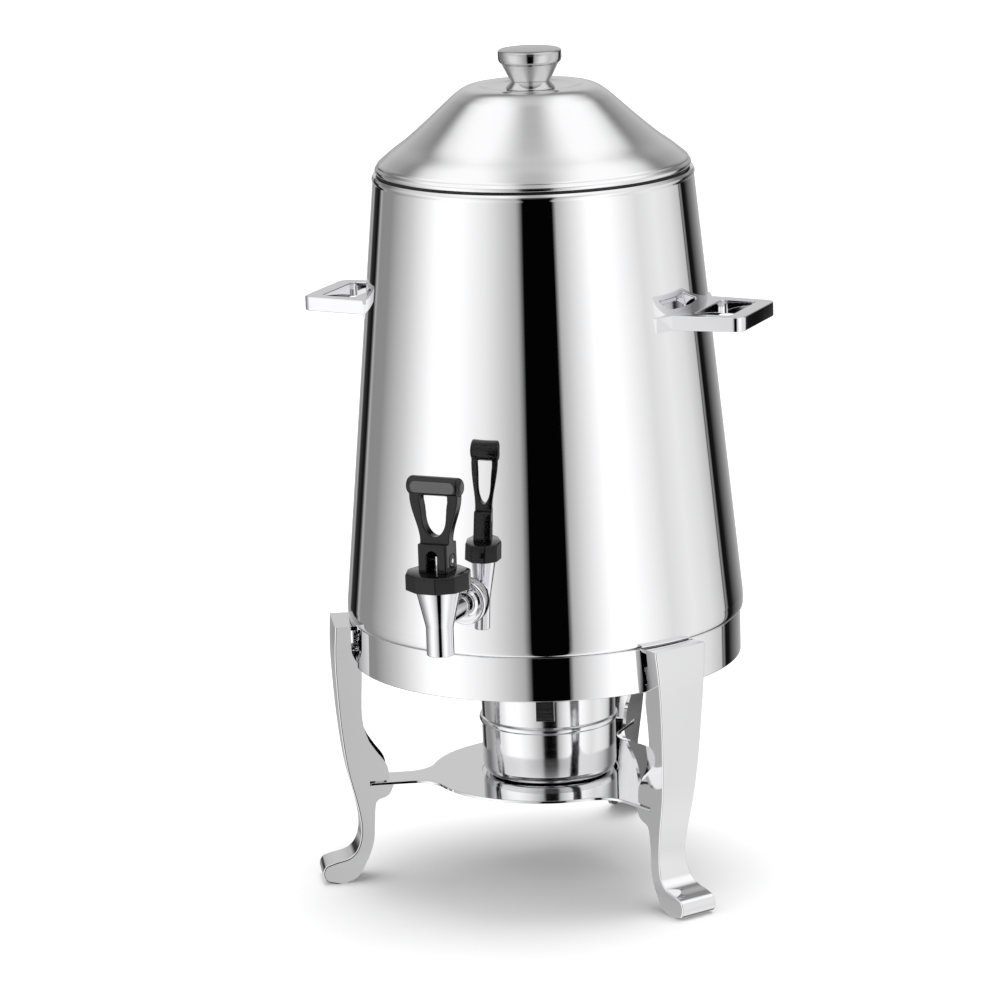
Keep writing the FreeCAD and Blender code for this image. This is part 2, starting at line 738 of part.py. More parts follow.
def make_tap_stem():
    foot = chamber_foot + 2.0
    collar = stem_collar_z
    top = pin_z + 3.4
    stem = tap_turned(outline(
        (0, foot), (stem_radius, foot), (stem_radius, collar), (stem_collar_radius, collar),
        (stem_collar_radius, collar + stem_collar_height), (stem_radius, collar + stem_collar_height),
        (stem_radius, top - 0.8), (stem_radius - 0.8, top), (0, top)))
    return stem.cut(bar_along(Vector(1, 0, 0), Vector(-10, tap_y, pin_z), 20, pin_radius + pin_clearance))


stem_collar_z = chamber_foot + cup_height + 6.0


def make_tap_spring():
    """Open coil between the stem's collar and the bonnet's roof."""
    low = stem_collar_z + stem_collar_height + spring_wire / 2
    high = bonnet_top - bonnet_roof - spring_wire / 2
    pitch = (high - low) / spring_turns
    path = Part.makeHelix(pitch, high - low, spring_radius)
    ring = Part.Wire([Part.makeCircle(spring_wire / 2, Vector(spring_radius, 0, 0), Vector(0, 1, 0))])
    coil = Part.Wire(path.Edges).makePipeShell([ring], True, True)
    coil.translate(Vector(0, tap_y, low))
    return coil


def make_tap_lever():
    """Black lever: pivot block, open fork and grip bar, upright when the tap is shut."""
    foot = bonnet_top + lever_gap
    shoulder = foot + lever_block_height
    bar_z = foot + lever_height - lever_bar_radius
    fork_half = lever_fork_width / 2
    block_half = lever_block_width / 2
    depth = lever_fork_depth
    block = Part.makeBox(lever_block_width, lever_block_depth, lever_block_height,
                         Vector(-block_half, -lever_block_depth / 2, foot))
    block = rounded(block, 1.5, lambda edge: upright(edge)
                    or edge.BoundBox.ZMin > shoulder - 0.01 and edge.BoundBox.YLength < 0.01)
    hub = bar_along(Vector(1, 0, 0), Vector(-lever_hub_width / 2, 0, pin_z), lever_hub_width,
                    lever_hub_radius)
    fork = outline(
        (-block_half, shoulder - 3), (-block_half, shoulder + 2),
        [(-block_half - 1.5, shoulder + 10), (-fork_half + 0.6, bar_z - 14), (-fork_half, bar_z - 2)],
        (fork_half, bar_z - 2),
        [(fork_half - 0.6, bar_z - 14), (block_half + 1.5, shoulder + 10), (block_half, shoulder + 2)],
        (block_half, shoulder - 3))
    fork.translate(Vector(0, -depth / 2, 0))
    fork = fork.extrude(Vector(0, depth, 0))
    window_top = bar_z - lever_bar_radius + 0.6
    window_low = window_top - lever_window_height
    window_half = lever_window_width / 2
    window = outline(
        (-window_half, window_top + 2), (-window_half, window_top - 4),
        [(-window_half + 1.2, window_top - 12), (-window_half + 4.5, window_low + 3.5), (0, window_low),
         (window_half - 4.5, window_low + 3.5), (window_half - 1.2, window_top - 12),
         (window_half, window_top - 4)],
        (window_half, window_top + 2))
    window.translate(Vector(0, -depth, 0))
    fork = fork.cut(window.extrude(Vector(0, 2 * depth, 0)))
    grip = bar_along(Vector(1, 0, 0), Vector(-lever_bar_length / 2, 0, bar_z), lever_bar_length,
                     lever_bar_radius)
    grip = rounded(grip, 0.55 * lever_bar_radius, lambda edge: edge.BoundBox.XLength < 0.01)
    face_y = -lever_bar_radius + lever_inset_depth
    inset_half = lever_bar_length / 2 - 3.5
    inset_low = lever_bar_radius * 0.62
    inset = Part.makeBox(2 * inset_half, 5, 2 * inset_low, Vector(-inset_half, face_y - 5, bar_z - inset_low))
    inset = rounded(inset, 0.9 * inset_low, lambda edge: edge.BoundBox.YLength > 4.9)
    grip = grip.cut(inset)
    lever = block.fuse(hub).fuse(fork).fuse(grip)
    slot_half = lever_slot_width / 2
    arch_z = foot + lever_slot_height - slot_half
    slot = Part.makeBox(lever_slot_width, lever_block_depth / 2 + lever_slot_back, arch_z - foot + 1,
                        Vector(-slot_half, -lever_block_depth / 2, foot - 1))
    arch = bar_along(Vector(0, 1, 0), Vector(0, -lever_block_depth / 2, arch_z),
                     lever_block_depth / 2 + lever_slot_back, slot_half)
    lever = lever.cut(slot).cut(arch)
    lever = lever.cut(bar_along(Vector(1, 0, 0), Vector(-lever_hub_width, 0, pin_z), 2 * lever_hub_width,
                                pin_radius))
    lever.translate(Vector(0, tap_y, 0))
    return lever


def make_lever_pin():
    return bar_along(Vector(1, 0, 0), Vector(-lever_hub_width / 2, tap_y, pin_z), lever_hub_width, pin_radius)


# Burner
def make_burner_cup():
    radius = burner_radius
    wall = burner_wall
    foot = burner_foot
    top = burner_cup_top
    roll = burner_roll
    bend = 0.293 * roll
    return turned(outline(
        (0, foot), (radius - roll, foot), [(radius - bend, foot + bend), (radius, foot + roll)],
        (radius, top - 5), [(radius + burner_bead, top - 2.5), (radius, top)],
        (radius - wall, top), (radius - wall, foot + roll),
        [(radius - bend - 0.7 * wall, foot + bend + 0.7 * wall), (radius - roll, foot + wall)],
        (0, foot + wall)))


def make_burner_cover():
    """Cover that stands on the cup's bead, with a mouth over the fuel and a notch for the damper's tab."""
    radius = burner_radius
    wall = burner_wall
    foot = burner_cup_top
    top = burner_top
    roll = 2.5
    bend = 0.293 * roll
    lip = radius - wall - cover_gap
    inner = lip - wall
    cover = turned(outline(
        (inner, foot - cover_lip), (lip, foot - cover_lip), (lip, foot), (radius, foot), (radius, top - roll),
        [(radius - bend, top - bend), (radius - roll, top)], (burner_mouth_radius, top),
        (burner_mouth_radius, top - 2.4 * wall), (burner_mouth_radius + wall, top - 2.4 * wall),
        (burner_mouth_radius + wall, top - wall), (radius - roll, top - wall), (inner, top - roll)))
    return cover.cut(bar_along(UP, Vector(damper_pivot_x, 0, top - 5), 10, rivet_radius))


damper_pivot_x = -(burner_mouth_radius + burner_radius) / 2 - 1.5
damper_foot = burner_top + 0.3


def make_damper():
    """Plate over the mouth with a tab that bends down outside the cover."""
    plate = Part.makeCylinder(damper_radius, damper_thickness, Vector(0, 0, damper_foot))
    ear = Part.makeCylinder(rivet_head_radius + 1.5, damper_thickness, Vector(damper_pivot_x, 0, damper_foot))
    reach = burner_radius + damper_tab_gap + damper_thickness
    tongue = Part.makeBox(reach - damper_pivot_x, damper_tab_width, damper_thickness,
                          Vector(damper_pivot_x, -damper_tab_width / 2, damper_foot))
    tab = Part.makeBox(damper_thickness, damper_tab_width, damper_tab_drop,
                       Vector(reach - damper_thickness, -damper_tab_width / 2,
                              damper_foot + damper_thickness - damper_tab_drop))
    damper = plate.fuse(ear).fuse(tongue).fuse(tab).removeSplitter()
    hole = bar_along(UP, Vector(damper_pivot_x, 0, damper_foot - 5), 10, rivet_radius + rivet_clearance)
    return damper.cut(hole)


def make_damper_rivet():
    head_z = damper_foot + damper_thickness + 0.2
    low = burner_top - burner_wall
    shank = bar_along(UP, Vector(damper_pivot_x, 0, low), head_z - low, rivet_radius)
    head = Part.makeCone(rivet_head_radius, rivet_head_radius - 1.2, rivet_head_height,
                         Vector(damper_pivot_x, 0, head_z))
    foot = bar_along(UP, Vector(damper_pivot_x, 0, low - 1.0), 1.0, rivet_head_radius - 0.8)
    return shank.fuse(head).fuse(foot)


def facing(shape):
    """A burner piece turned so that the damper's tab looks forward."""
    return azimuth(shape, damper_turn)


leg = make_leg()
handle = make_handle()
gathered = {
    "stand_ring": make_stand_ring(),
    "ring_ledge": make_ring_ledge(),
    "leg_front_left": azimuth(leg, leg_azimuth(0)),
    "leg_front_right": azimuth(leg, leg_azimuth(1)),
    "leg_rear": azimuth(leg, leg_azimuth(2)),
    "leg_bolts": Part.makeCompound([azimuth(make_leg_bolt(), leg_azimuth(i)) for i in range(leg_count)]),
    "shelf_plate": make_shelf(),
    "body_shell": make_body_shell(),
    "base_pan": make_base_pan(),
    "lid_shell": make_lid_shell(),
    "lid_knob": make_lid_knob(),
    "knob_washer": make_knob_washer(),
    "knob_screw": make_knob_screw(),
    "handle_right": handle,
    "handle_left": handle.mirror(AXIS, Vector(1, 0, 0)),
    "handle_washers": four_ways(handle_washer()),
    "handle_screws": four_ways(handle_screw()),
    "tap_body": make_tap_body(),
    "tap_flange": make_tap_flange(),
    "tap_gasket_outer": make_gasket(True),
    "tap_gasket_inner": make_gasket(False),
    "tap_shank_nut": make_shank_nut(),
    "tap_bonnet": make_tap_bonnet(),
    "tap_stem": make_tap_stem(),
    "tap_seat_cup": make_seat_cup(),
    "tap_spring": make_tap_spring(),
    "tap_lever": make_tap_lever(),
    "lever_pin": make_lever_pin(),
    "burner_cup": make_burner_cup(),
    "burner_cover": facing(make_burner_cover()),
    "burner_damper": facing(make_damper()),
    "damper_rivet": facing(make_damper_rivet()),
}

os.makedirs("parts", exist_ok=True)
for name, shape in gathered.items():
    shape.exportStep("parts/" + name + ".step")
    box = shape.BoundBox
    print(name, "solids", len(shape.Solids), "volume", round(shape.Volume), "valid", shape.isValid(),
          "height %.1f to %.1f" % (box.ZMin, box.ZMax))
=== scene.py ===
# %% [markdown]
# # A coffee urn on a three-legged stand
#
# The urn is a tapered steel can with a lid, two loop handles and a lever tap. It stands in a
# ring on three pressed legs, above a fuel burner on a shelf. Nearly every surface is a mirror,
# so most of the work is in smooth forms, thin bright edges and a studio worth reflecting.

# %% Load the measured frame
import bmesh
import bpy
import math
from mathutils import Matrix, Vector
from mathutils.geometry import interpolate_bezier


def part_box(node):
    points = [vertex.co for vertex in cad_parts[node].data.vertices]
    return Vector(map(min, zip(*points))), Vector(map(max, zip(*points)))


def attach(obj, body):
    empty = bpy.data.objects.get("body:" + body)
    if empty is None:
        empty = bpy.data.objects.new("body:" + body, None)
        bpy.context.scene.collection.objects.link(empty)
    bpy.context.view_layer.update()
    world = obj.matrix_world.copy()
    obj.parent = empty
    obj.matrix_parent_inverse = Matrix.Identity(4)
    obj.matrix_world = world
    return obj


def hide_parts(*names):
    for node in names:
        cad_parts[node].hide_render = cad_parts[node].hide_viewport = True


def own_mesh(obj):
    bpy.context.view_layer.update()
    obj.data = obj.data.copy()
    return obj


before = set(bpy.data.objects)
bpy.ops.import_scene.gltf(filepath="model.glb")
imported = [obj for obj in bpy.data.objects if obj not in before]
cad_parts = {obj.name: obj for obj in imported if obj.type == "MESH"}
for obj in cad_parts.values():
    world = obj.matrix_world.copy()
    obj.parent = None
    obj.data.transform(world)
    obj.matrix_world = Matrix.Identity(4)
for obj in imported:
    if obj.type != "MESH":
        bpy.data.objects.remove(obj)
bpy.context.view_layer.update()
MM = 0.001

# %% [markdown]
# ## Three small helpers
#
# A polished can is spun from a flat outline, as a metal spinner shapes it over a form. Straight
# points make crisp corners, and a curve through a few points makes the rolled ones. The
# corners that matter get a Bevel modifier later, because a real edge always catches a thin light.

# %% A smooth line through a few points
def curve(*points, steps=8):
    """Points on a smooth line through the given (radius, height) pairs."""
    line = [Vector(point) for point in points]
    ends = [line[0] * 2 - line[1]] + line + [line[-1] * 2 - line[-2]]
    smooth = [tuple(line[0])]
    for before, start, end, after in zip(ends, ends[1:], ends[2:], ends[3:]):
        handles = start + (end - before) / 6, end - (after - start) / 6
        smooth += [tuple(point[:2]) for point in interpolate_bezier(start, *handles, end, steps + 1)[1:]]
    return smooth


# %% Spin an outline into a round piece
def turned(outline, closed=True, steps=192):
    """A round bmesh from (radius, height) pairs in millimetres, spun about the upright axis."""
    bm = bmesh.new()
    verts = [bm.verts.new((radius * MM, 0, height * MM)) for radius, height in outline]
    edges = [bm.edges.new(pair) for pair in zip(verts, verts[1:])]
    if closed:
        edges.append(bm.edges.new((verts[-1], verts[0])))
    bmesh.ops.spin(bm, geom=verts + edges, cent=(0, 0, 0), axis=(0, 0, 1), dvec=(0, 0, 0),
                   angle=math.tau, steps=steps, use_merge=True, use_duplicate=False)
    return bm


# %% Finish a piece and tie it to the frame
def piece(bm, name, body, look, stands_for, crease=32, edge=0.0):
    """Makes a bmesh into an object with soft or sharp edges, one material and a body to ride on."""
    bmesh.ops.remove_doubles(bm, verts=bm.verts, dist=0.002 * MM)
    bmesh.ops.recalc_face_normals(bm, faces=bm.faces)
    for face in bm.faces:
        face.smooth = True
    for line in bm.edges:
        line.smooth = line.calc_face_angle(0) < math.radians(crease)
    mesh = bpy.data.meshes.new(name)
    bm.to_mesh(mesh)
    bm.free()
    made = bpy.data.objects.new(name, mesh)
    bpy.context.scene.collection.objects.link(made)
    mesh.materials.append(look)
    if edge:
        bevel = made.modifiers.new("soft edge", "BEVEL")
        bevel.limit_method = "ANGLE"
        bevel.angle_limit = math.radians(crease)
        bevel.width = edge * MM
        bevel.segments = 3
        bevel.harden_normals = True
    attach(made, body)
    if stands_for:
        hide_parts(*stands_for)
    print(name, "faces", len(mesh.polygons), "rides on", body)
    return made


# %% [markdown]
# ## The finishes
#
# Polished steel is not a perfect mirror. It has a faint haze that comes and goes, and sheet
# metal is never quite flat, so its reflections waver. A little noise in the roughness and a
# very weak bump say both. The noise reads Object coordinates, so it stays put on the metal.

# %% A material with its shader ready
def new_look(name, slot, colour, metal, rough):
    """A material whose even values sit on the shader's own sockets."""
    look = bpy.data.materials.new(name)
    look["slot"] = slot
    look.use_nodes = True
    shader = look.node_tree.nodes["Principled BSDF"]
    shader.inputs["Base Color"].default_value = (*colour, 1)
    shader.inputs["Metallic"].default_value = metal
    shader.inputs["Roughness"].default_value = rough
    return look, look.node_tree.nodes, look.node_tree.links, shader


# %% Noise on the object's own coordinates
def object_noise(nodes, links, scale, stretch=(1, 1, 1), detail=3.0):
    """A noise texture whose pattern is fixed to the object, in metres."""
    place = nodes.new("ShaderNodeTexCoord")
    mapping = nodes.new("ShaderNodeMapping")
    mapping.inputs["Scale"].default_value = stretch
    noise = nodes.new("ShaderNodeTexNoise")
    noise.inputs["Scale"].default_value = scale
    noise.inputs["Detail"].default_value = detail
    links.new(place.outputs["Object"], mapping.inputs["Vector"])
    links.new(mapping.outputs["Vector"], noise.inputs["Vector"])
    return noise.outputs["Fac"]


# %% Use a pattern for roughness or for bump
def vary_rough(nodes, links, shader, pattern, low, high):
    """Lets a pattern move the roughness between two values."""
    spread = nodes.new("ShaderNodeMapRange")
    spread.inputs["From Min"].default_value = 0.3
    spread.inputs["From Max"].default_value = 0.7
    spread.inputs["To Min"].default_value = low
    spread.inputs["To Max"].default_value = high
    links.new(pattern, spread.inputs["Value"])
    links.new(spread.outputs["Result"], shader.inputs["Roughness"])


def raise_bump(nodes, links, shader, pattern, height, strength=1.0):
    """Lets a pattern tilt the surface a little, with its height in millimetres."""
    bump = nodes.new("ShaderNodeBump")
    bump.inputs["Strength"].default_value = strength
    bump.inputs["Distance"].default_value = height * MM
    links.new(pattern, bump.inputs["Height"])
    links.new(bump.outputs["Normal"], shader.inputs["Normal"])


# %% Polished steel of the body, ring and legs
def polished_steel():
    """Rolled and buffed sheet, nearly a mirror."""
    look, nodes, links, shader = new_look("polished steel", "polished_steel", (0.87, 0.87, 0.88), 1.0, 0.03)
    haze = object_noise(nodes, links, 14.0, detail=5.0)
    vary_rough(nodes, links, shader, haze, 0.012, 0.04)
    waver = object_noise(nodes, links, 22.0, detail=1.0)
    raise_bump(nodes, links, shader, waver, 0.02, 0.3)
    return look


steel_look = polished_steel()

# %% [markdown]
# The lid and the burner are satin. They were brushed while they turned, so their fine lines run
# round the axis. Noise over radius and height alone gives just such rings, because it is the same
# all the way round. The burner is a little smoother than the lid.

# %% Satin steel, brushed round its axis
LINES_PER_METRE = 900.0


def ring_lines(nodes, links):
    """Fine noise that changes with radius and height but not round the axis."""
    place = nodes.new("ShaderNodeTexCoord")
    split = nodes.new("ShaderNodeSeparateXYZ")
    links.new(place.outputs["Object"], split.inputs["Vector"])
    radius = nodes.new("ShaderNodeVectorMath")
    radius.operation = "LENGTH"
    flat = nodes.new("ShaderNodeCombineXYZ")
    links.new(split.outputs["X"], flat.inputs["X"])
    links.new(split.outputs["Y"], flat.inputs["Y"])
    links.new(flat.outputs["Vector"], radius.inputs[0])
    ring = nodes.new("ShaderNodeCombineXYZ")
    links.new(radius.outputs["Value"], ring.inputs["X"])
    links.new(split.outputs["Z"], ring.inputs["Z"])
    noise = nodes.new("ShaderNodeTexNoise")
    noise.inputs["Scale"].default_value = LINES_PER_METRE
    noise.inputs["Detail"].default_value = 3.0
    links.new(ring.outputs["Vector"], noise.inputs["Vector"])
    return noise.outputs["Fac"]


def satin_steel(name, slot, smooth, rough):
    """Steel whose fine rings move its roughness between two values."""
    look, nodes, links, shader = new_look(name, slot, (0.88, 0.88, 0.89), 1.0, smooth)
    lines = ring_lines(nodes, links)
    vary_rough(nodes, links, shader, lines, smooth, rough)
    raise_bump(nodes, links, shader, lines, 0.02, 0.15)
    return look


satin_look = satin_steel("satin steel", "satin_steel", 0.10, 0.17)
burner_look = satin_steel("brushed burner steel", "polished_steel", 0.09, 0.15)

# %% Bright plate of the handles and tap, and the darker casting of the knob
def bright_plate(name, colour):
    """A plated casting, less flat than sheet, with a soft haze."""
    look, nodes, links, shader = new_look(name, "chrome_plate", colour, 1.0, 0.06)
    haze = object_noise(nodes, links, 60.0, detail=4.0)
    vary_rough(nodes, links, shader, haze, 0.04, 0.11)
    raise_bump(nodes, links, shader, haze, 0.01, 0.2)
    return look


plate_look = bright_plate("bright plate", (0.84, 0.84, 0.86))
knob_look = bright_plate("cast knob", (0.60, 0.60, 0.60))

# %% [markdown]
# The lever and the nut are moulded plastic, black all through and glossy. A polished mould still
# leaves a very fine grain, so the highlights have slightly soft ends. The flat on the front of
# the grip has a matt grain, and its grey is a painted sheen for the light that the flat reflects.
# A distance to the middle line of that flat, made from Object coordinates, says where the grain
# and the painted sheen are.

# %% Black moulded plastic
BLACK = (0.004, 0.004, 0.004)
# Grey of the grip's flat: a painted sheen for the light that the flat reflects.
PAINTED_SHEEN_GREY = (0.10, 0.10, 0.10)
GRIP_FLAT = (16.0, 4.0)
GRIP_SOFTNESS = 0.3
GRIP_DROP = 6.5
GRIP_DEPTH = 2.5


def grip_flat_mask(nodes, links, middle, front):
    """1 on the long rounded flat of the grip and 0 elsewhere, by distance from its middle line.

    GRIP_FLAT holds the half length and half height of the flat in millimetres.
    """
    place = nodes.new("ShaderNodeTexCoord")
    centred = nodes.new("ShaderNodeVectorMath")
    centred.operation = "SUBTRACT"
    centred.inputs[1].default_value = middle
    size = nodes.new("ShaderNodeVectorMath")
    size.operation = "ABSOLUTE"
    past_end = nodes.new("ShaderNodeVectorMath")
    past_end.operation = "SUBTRACT"
    past_end.inputs[1].default_value = ((GRIP_FLAT[0] - GRIP_FLAT[1]) * MM, front, 0)
    kept = nodes.new("ShaderNodeVectorMath")
    kept.operation = "MAXIMUM"
    kept.inputs[1].default_value = (0, 0, 0)
    away = nodes.new("ShaderNodeVectorMath")
    away.operation = "LENGTH"
    inside = nodes.new("ShaderNodeMapRange")
    inside.inputs["From Min"].default_value = (GRIP_FLAT[1] + GRIP_SOFTNESS) * MM
    inside.inputs["From Max"].default_value = (GRIP_FLAT[1] - GRIP_SOFTNESS) * MM
    links.new(place.outputs["Object"], centred.inputs[0])
    links.new(centred.outputs["Vector"], size.inputs[0])
    links.new(size.outputs["Vector"], past_end.inputs[0])
    links.new(past_end.outputs["Vector"], kept.inputs[0])
    links.new(kept.outputs["Vector"], away.inputs[0])
    links.new(away.outputs["Value"], inside.inputs["Value"])
    return inside.outputs["Result"]


def black_plastic(name, grip=None):
    """Glossy plastic, with a matt flat that carries a grey painted sheen where grip gives its middle and how deep it
    reaches.
    """
    look, nodes, links, shader = new_look(name, "black_plastic", BLACK, 0.0, 0.12)
    shader.inputs["Specular IOR Level"].default_value = 0.4
    grain = object_noise(nodes, links, 1600.0, detail=2.0)
    raise_bump(nodes, links, shader, grain, 0.004, 0.2)
    if grip:
        matt_and_sheen = grip_flat_mask(nodes, links, *grip)
        # The grey mixed onto the flat is a painted sheen; the rougher finish there is its matt grain.
        shade = nodes.new("ShaderNodeMix")
        shade.data_type = "RGBA"
        shade.inputs["A"].default_value = (*BLACK, 1)
        shade.inputs["B"].default_value = (*PAINTED_SHEEN_GREY, 1)
        links.new(matt_and_sheen, shade.inputs["Factor"])
        links.new(shade.outputs["Result"], shader.inputs["Base Color"])
        vary_rough(nodes, links, shader, matt_and_sheen, 0.12, 0.35)
    else:
        patch = object_noise(nodes, links, 70.0, detail=4.0)
        vary_rough(nodes, links, shader, patch, 0.09, 0.16)
    return look


lever_low, lever_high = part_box("tap_lever")
grip_middle = Vector(((lever_low.x + lever_high.x) / 2, lever_low.y, lever_high.z - GRIP_DROP * MM))
plastic_look = black_plastic("black plastic")
lever_look = black_plastic("black plastic, grip with matt grain and painted sheen", (grip_middle, GRIP_DEPTH * MM))

# %% Soft seals, plain wire and the painted shade of the lid's groove
def silicone():
    """Pale rubber of the washers, gaskets and seat cup."""
    look, nodes, links, shader = new_look("silicone", "silicone", (0.72, 0.71, 0.68), 0.0, 0.55)
    cloud = object_noise(nodes, links, 300.0, detail=3.0)
    vary_rough(nodes, links, shader, cloud, 0.45, 0.65)
    raise_bump(nodes, links, shader, cloud, 0.02, 0.2)
    return look


def drawn_wire():
    """Spring wire, streaked by the die it was drawn through."""
    look, nodes, links, shader = new_look("drawn wire", "spring_wire", (0.6, 0.6, 0.61), 1.0, 0.3)
    streak = object_noise(nodes, links, 400.0, detail=3.0)
    vary_rough(nodes, links, shader, streak, 0.22, 0.4)
    return look


def painted_groove_shade():
    """Near-black steel for the groove under the lid: painted shade that stands for the shadow in the seam."""
    # The near-black base colour is painted shade for the shadow inside the seam's groove.
    look, nodes, links, shader = new_look("near-black steel, painted groove shade", "satin_steel", (0.05, 0.05, 0.05), 1.0, 0.4)
    stain = object_noise(nodes, links, 90.0, detail=4.0)
    vary_rough(nodes, links, shader, stain, 0.35, 0.55)
    return look


silicone_look = silicone()
wire_look = drawn_wire()
painted_groove_shade_look = painted_groove_shade()

# %% [markdown]
# ## The urn's body
#
# The body is one tapered sheet, rolled in at the foot and folded to a bead at the rim. Its
# outline gives both faces of the sheet, so the wall is as thin as the real one when the lid is
# off. The taper itself has no points between its ends: a straight line spins to a true cone.

# %% Body shell
body_low, body_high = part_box("body_shell")
rim_z = body_high.z / MM
skirt_z = body_low.z / MM
SKIRT_HEIGHT = 7.0
seam_z = skirt_z + SKIRT_HEIGHT
WALL = 1.0
FOOT_RADIUS = 138.2
RIM_RADIUS = 110.4
RIM_INNER_RADIUS = 106.2
SKIRT_RADIUS = 133.8
FOOT_ROLL = 11.0
BEAD_HEIGHT = 5.0


def body_outline():
    """Both faces of the body's sheet, from the rolled foot round the skirt and up to the bead."""
    foot = seam_z + FOOT_ROLL
    rim = rim_z - BEAD_HEIGHT
    outside = curve((FOOT_RADIUS, foot), (FOOT_RADIUS - 0.1, foot - 8.6), (SKIRT_RADIUS + 2.2, seam_z + 0.3),
                    (SKIRT_RADIUS, seam_z))
    inside = curve((SKIRT_RADIUS - WALL, seam_z + WALL), (FOOT_RADIUS - 0.6 - WALL, foot - 6.4),
                   (FOOT_RADIUS - WALL, foot))
    bead = curve((RIM_RADIUS - 0.6, rim_z), (RIM_RADIUS + 0.5, rim_z - 2.5), (RIM_RADIUS, rim))
    neck = [(RIM_RADIUS - WALL, rim), (RIM_INNER_RADIUS, rim + 1.5), (RIM_INNER_RADIUS, rim_z)]
    skirt = [(SKIRT_RADIUS, skirt_z), (SKIRT_RADIUS - WALL, skirt_z)]
    return outside + skirt + inside + neck + bead


piece(turned(body_outline()), "urn_body", "urn", steel_look, ["body_shell"], crease=40)

# %% [markdown]
# ## The lid and its knob
#
# The lid sweeps in from a rolled rim, over a round crest and down into a shallow dish that holds
# the knob. One smooth curve draws the whole sweep. A gap under the rim, whose faces are painted
# near black as shade, makes the dark seam that separates the lid from the body.

# %% Lid
lid_low, lid_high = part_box("lid_shell")
lid_radius = lid_high.x / MM
crest_z = lid_high.z / MM
dish_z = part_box("lid_knob")[0].z / MM
CREST_RADIUS = 39.0
DISH_RADIUS = 23.0
SEAM = 1.4
SEAM_DEPTH = 2.0
LIP_RADIUS = 105.7
SWEEP = ((0.027, 0.119), (0.155, 0.246), (0.31, 0.381), (0.511, 0.585), (0.704, 0.793), (0.805, 0.898),
         (0.90, 0.971))
DISH = ((0, 0), (0.37, 0.22), (0.7, 0.72), (1, 1))


def lid_sweep(inset):
    """The curve from the rim over the crest to the dish, set in by a wall where inset is not 0."""
    run = lid_radius - CREST_RADIUS
    rise = crest_z - rim_z
    width = CREST_RADIUS - DISH_RADIUS
    flare = [(lid_radius - across * run - inset, rim_z + up * rise - inset * 0.75) for across, up in SWEEP]
    dish = [(CREST_RADIUS - across * width, crest_z - fall * (crest_z - dish_z) - inset) for across, fall in DISH]
    return curve(*flare, *dish, steps=6)


def lid_outline():
    """The whole section of the lid: inner sweep, lip, seam groove, rolled rim and outer sweep."""
    outside = lid_sweep(0)
    inside = lid_sweep(WALL)
    roll = curve((lid_radius - 0.9, rim_z + SEAM), (lid_radius - 0.15, rim_z + SEAM + 0.9),
                 (lid_radius - 0.1, rim_z + SEAM + 2.6), (lid_radius - 0.9, rim_z + SEAM + 3.9),
                 (lid_radius - 1.5, rim_z + SEAM + 4.7), outside[0], steps=4)
    rim = [(lid_radius - SEAM_DEPTH, rim_z), (lid_radius - SEAM_DEPTH, rim_z + SEAM)]
    lip = [(LIP_RADIUS - WALL, rim_z + 2 * SEAM), (LIP_RADIUS - WALL, lid_low.z / MM),
           (LIP_RADIUS, lid_low.z / MM), (LIP_RADIUS, rim_z)]
    return [(0, dish_z - WALL)] + inside[::-1] + lip + rim + roll[:-1] + outside + [(0, dish_z)]


lid = piece(turned(lid_outline(), closed=False), "urn_lid", "lid", satin_look, ["lid_shell"], crease=40)
# The groove's faces get the near-black steel, a painted shade for the dark seam.
lid.data.materials.append(painted_groove_shade_look)
groove = [face for face in lid.data.polygons
          if (rim_z - 0.1) * MM < face.center.z < (rim_z + SEAM + 0.1) * MM
          and face.center.xy.length > (LIP_RADIUS - 0.5) * MM]
for face in groove:
    face.material_index = 1
print("faces in the seam's groove", len(groove))

# %% Knob
knob_low, knob_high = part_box("lid_knob")
KNOB_RADIUS = 21.8
DOME_HEIGHT = 2.2


def knob_outline():
    """A cone that widens to a band, under a shallow dome."""
    foot = knob_low.z / MM
    top = knob_high.z / MM
    band = top - DOME_HEIGHT
    cone = [(0, foot), (16.8, foot), (16.8, foot + 0.8), (13.3, foot + 4.8)]
    side = curve((19.6, band - 9.2), (21.2, band - 7.6), (KNOB_RADIUS, band - 5.6), steps=4)
    edge = curve((KNOB_RADIUS, band - 0.9), (21.4, band - 0.1), (20.4, band + 0.45), steps=3)
    dome = curve((15.0, top - 0.95), (8.0, top - 0.25), (0.0, top), steps=4)
    return cone + side + edge + dome


piece(turned(knob_outline(), closed=False, steps=96), "lid_knob_bright", "lid", knob_look, ["lid_knob"],
      crease=30, edge=0.3)

# %% [markdown]
# ## The stand
#
# The ring is a plain hoop. Its edges are rounded a little, and that small round is what draws
# the bright line between the hoop and the urn.

# %% Ring
ring_low, ring_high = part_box("stand_ring")
ring_radius = ring_high.x / MM
RING_WALL = 1.8


def ring_outline():
    """A plain rectangle, because the hoop is flat bar rolled round."""
    inner = ring_radius - RING_WALL
    low, high = ring_low.z / MM, ring_high.z / MM
    return [(inner, low), (ring_radius, low), (ring_radius, high), (inner, high)]


piece(turned(ring_outline()), "stand_hoop", "stand", steel_look, ["stand_ring"], crease=40, edge=0.8)

# %% [markdown]
# ## The legs
#
# Each leg is pressed from sheet: a curled front face, a flange folded back on each side and a cap
# on top that meets the ring. It could be cut from a block, but a fold is easier to see as a
# fold. So one flange is drawn flat from the side and sliced into level strips, and its front and
# top edges are pulled to the middle to make the face and the cap. The long folds get their
# bend, mirroring gives the other half, and a Solidify modifier gives the sheet its thickness.

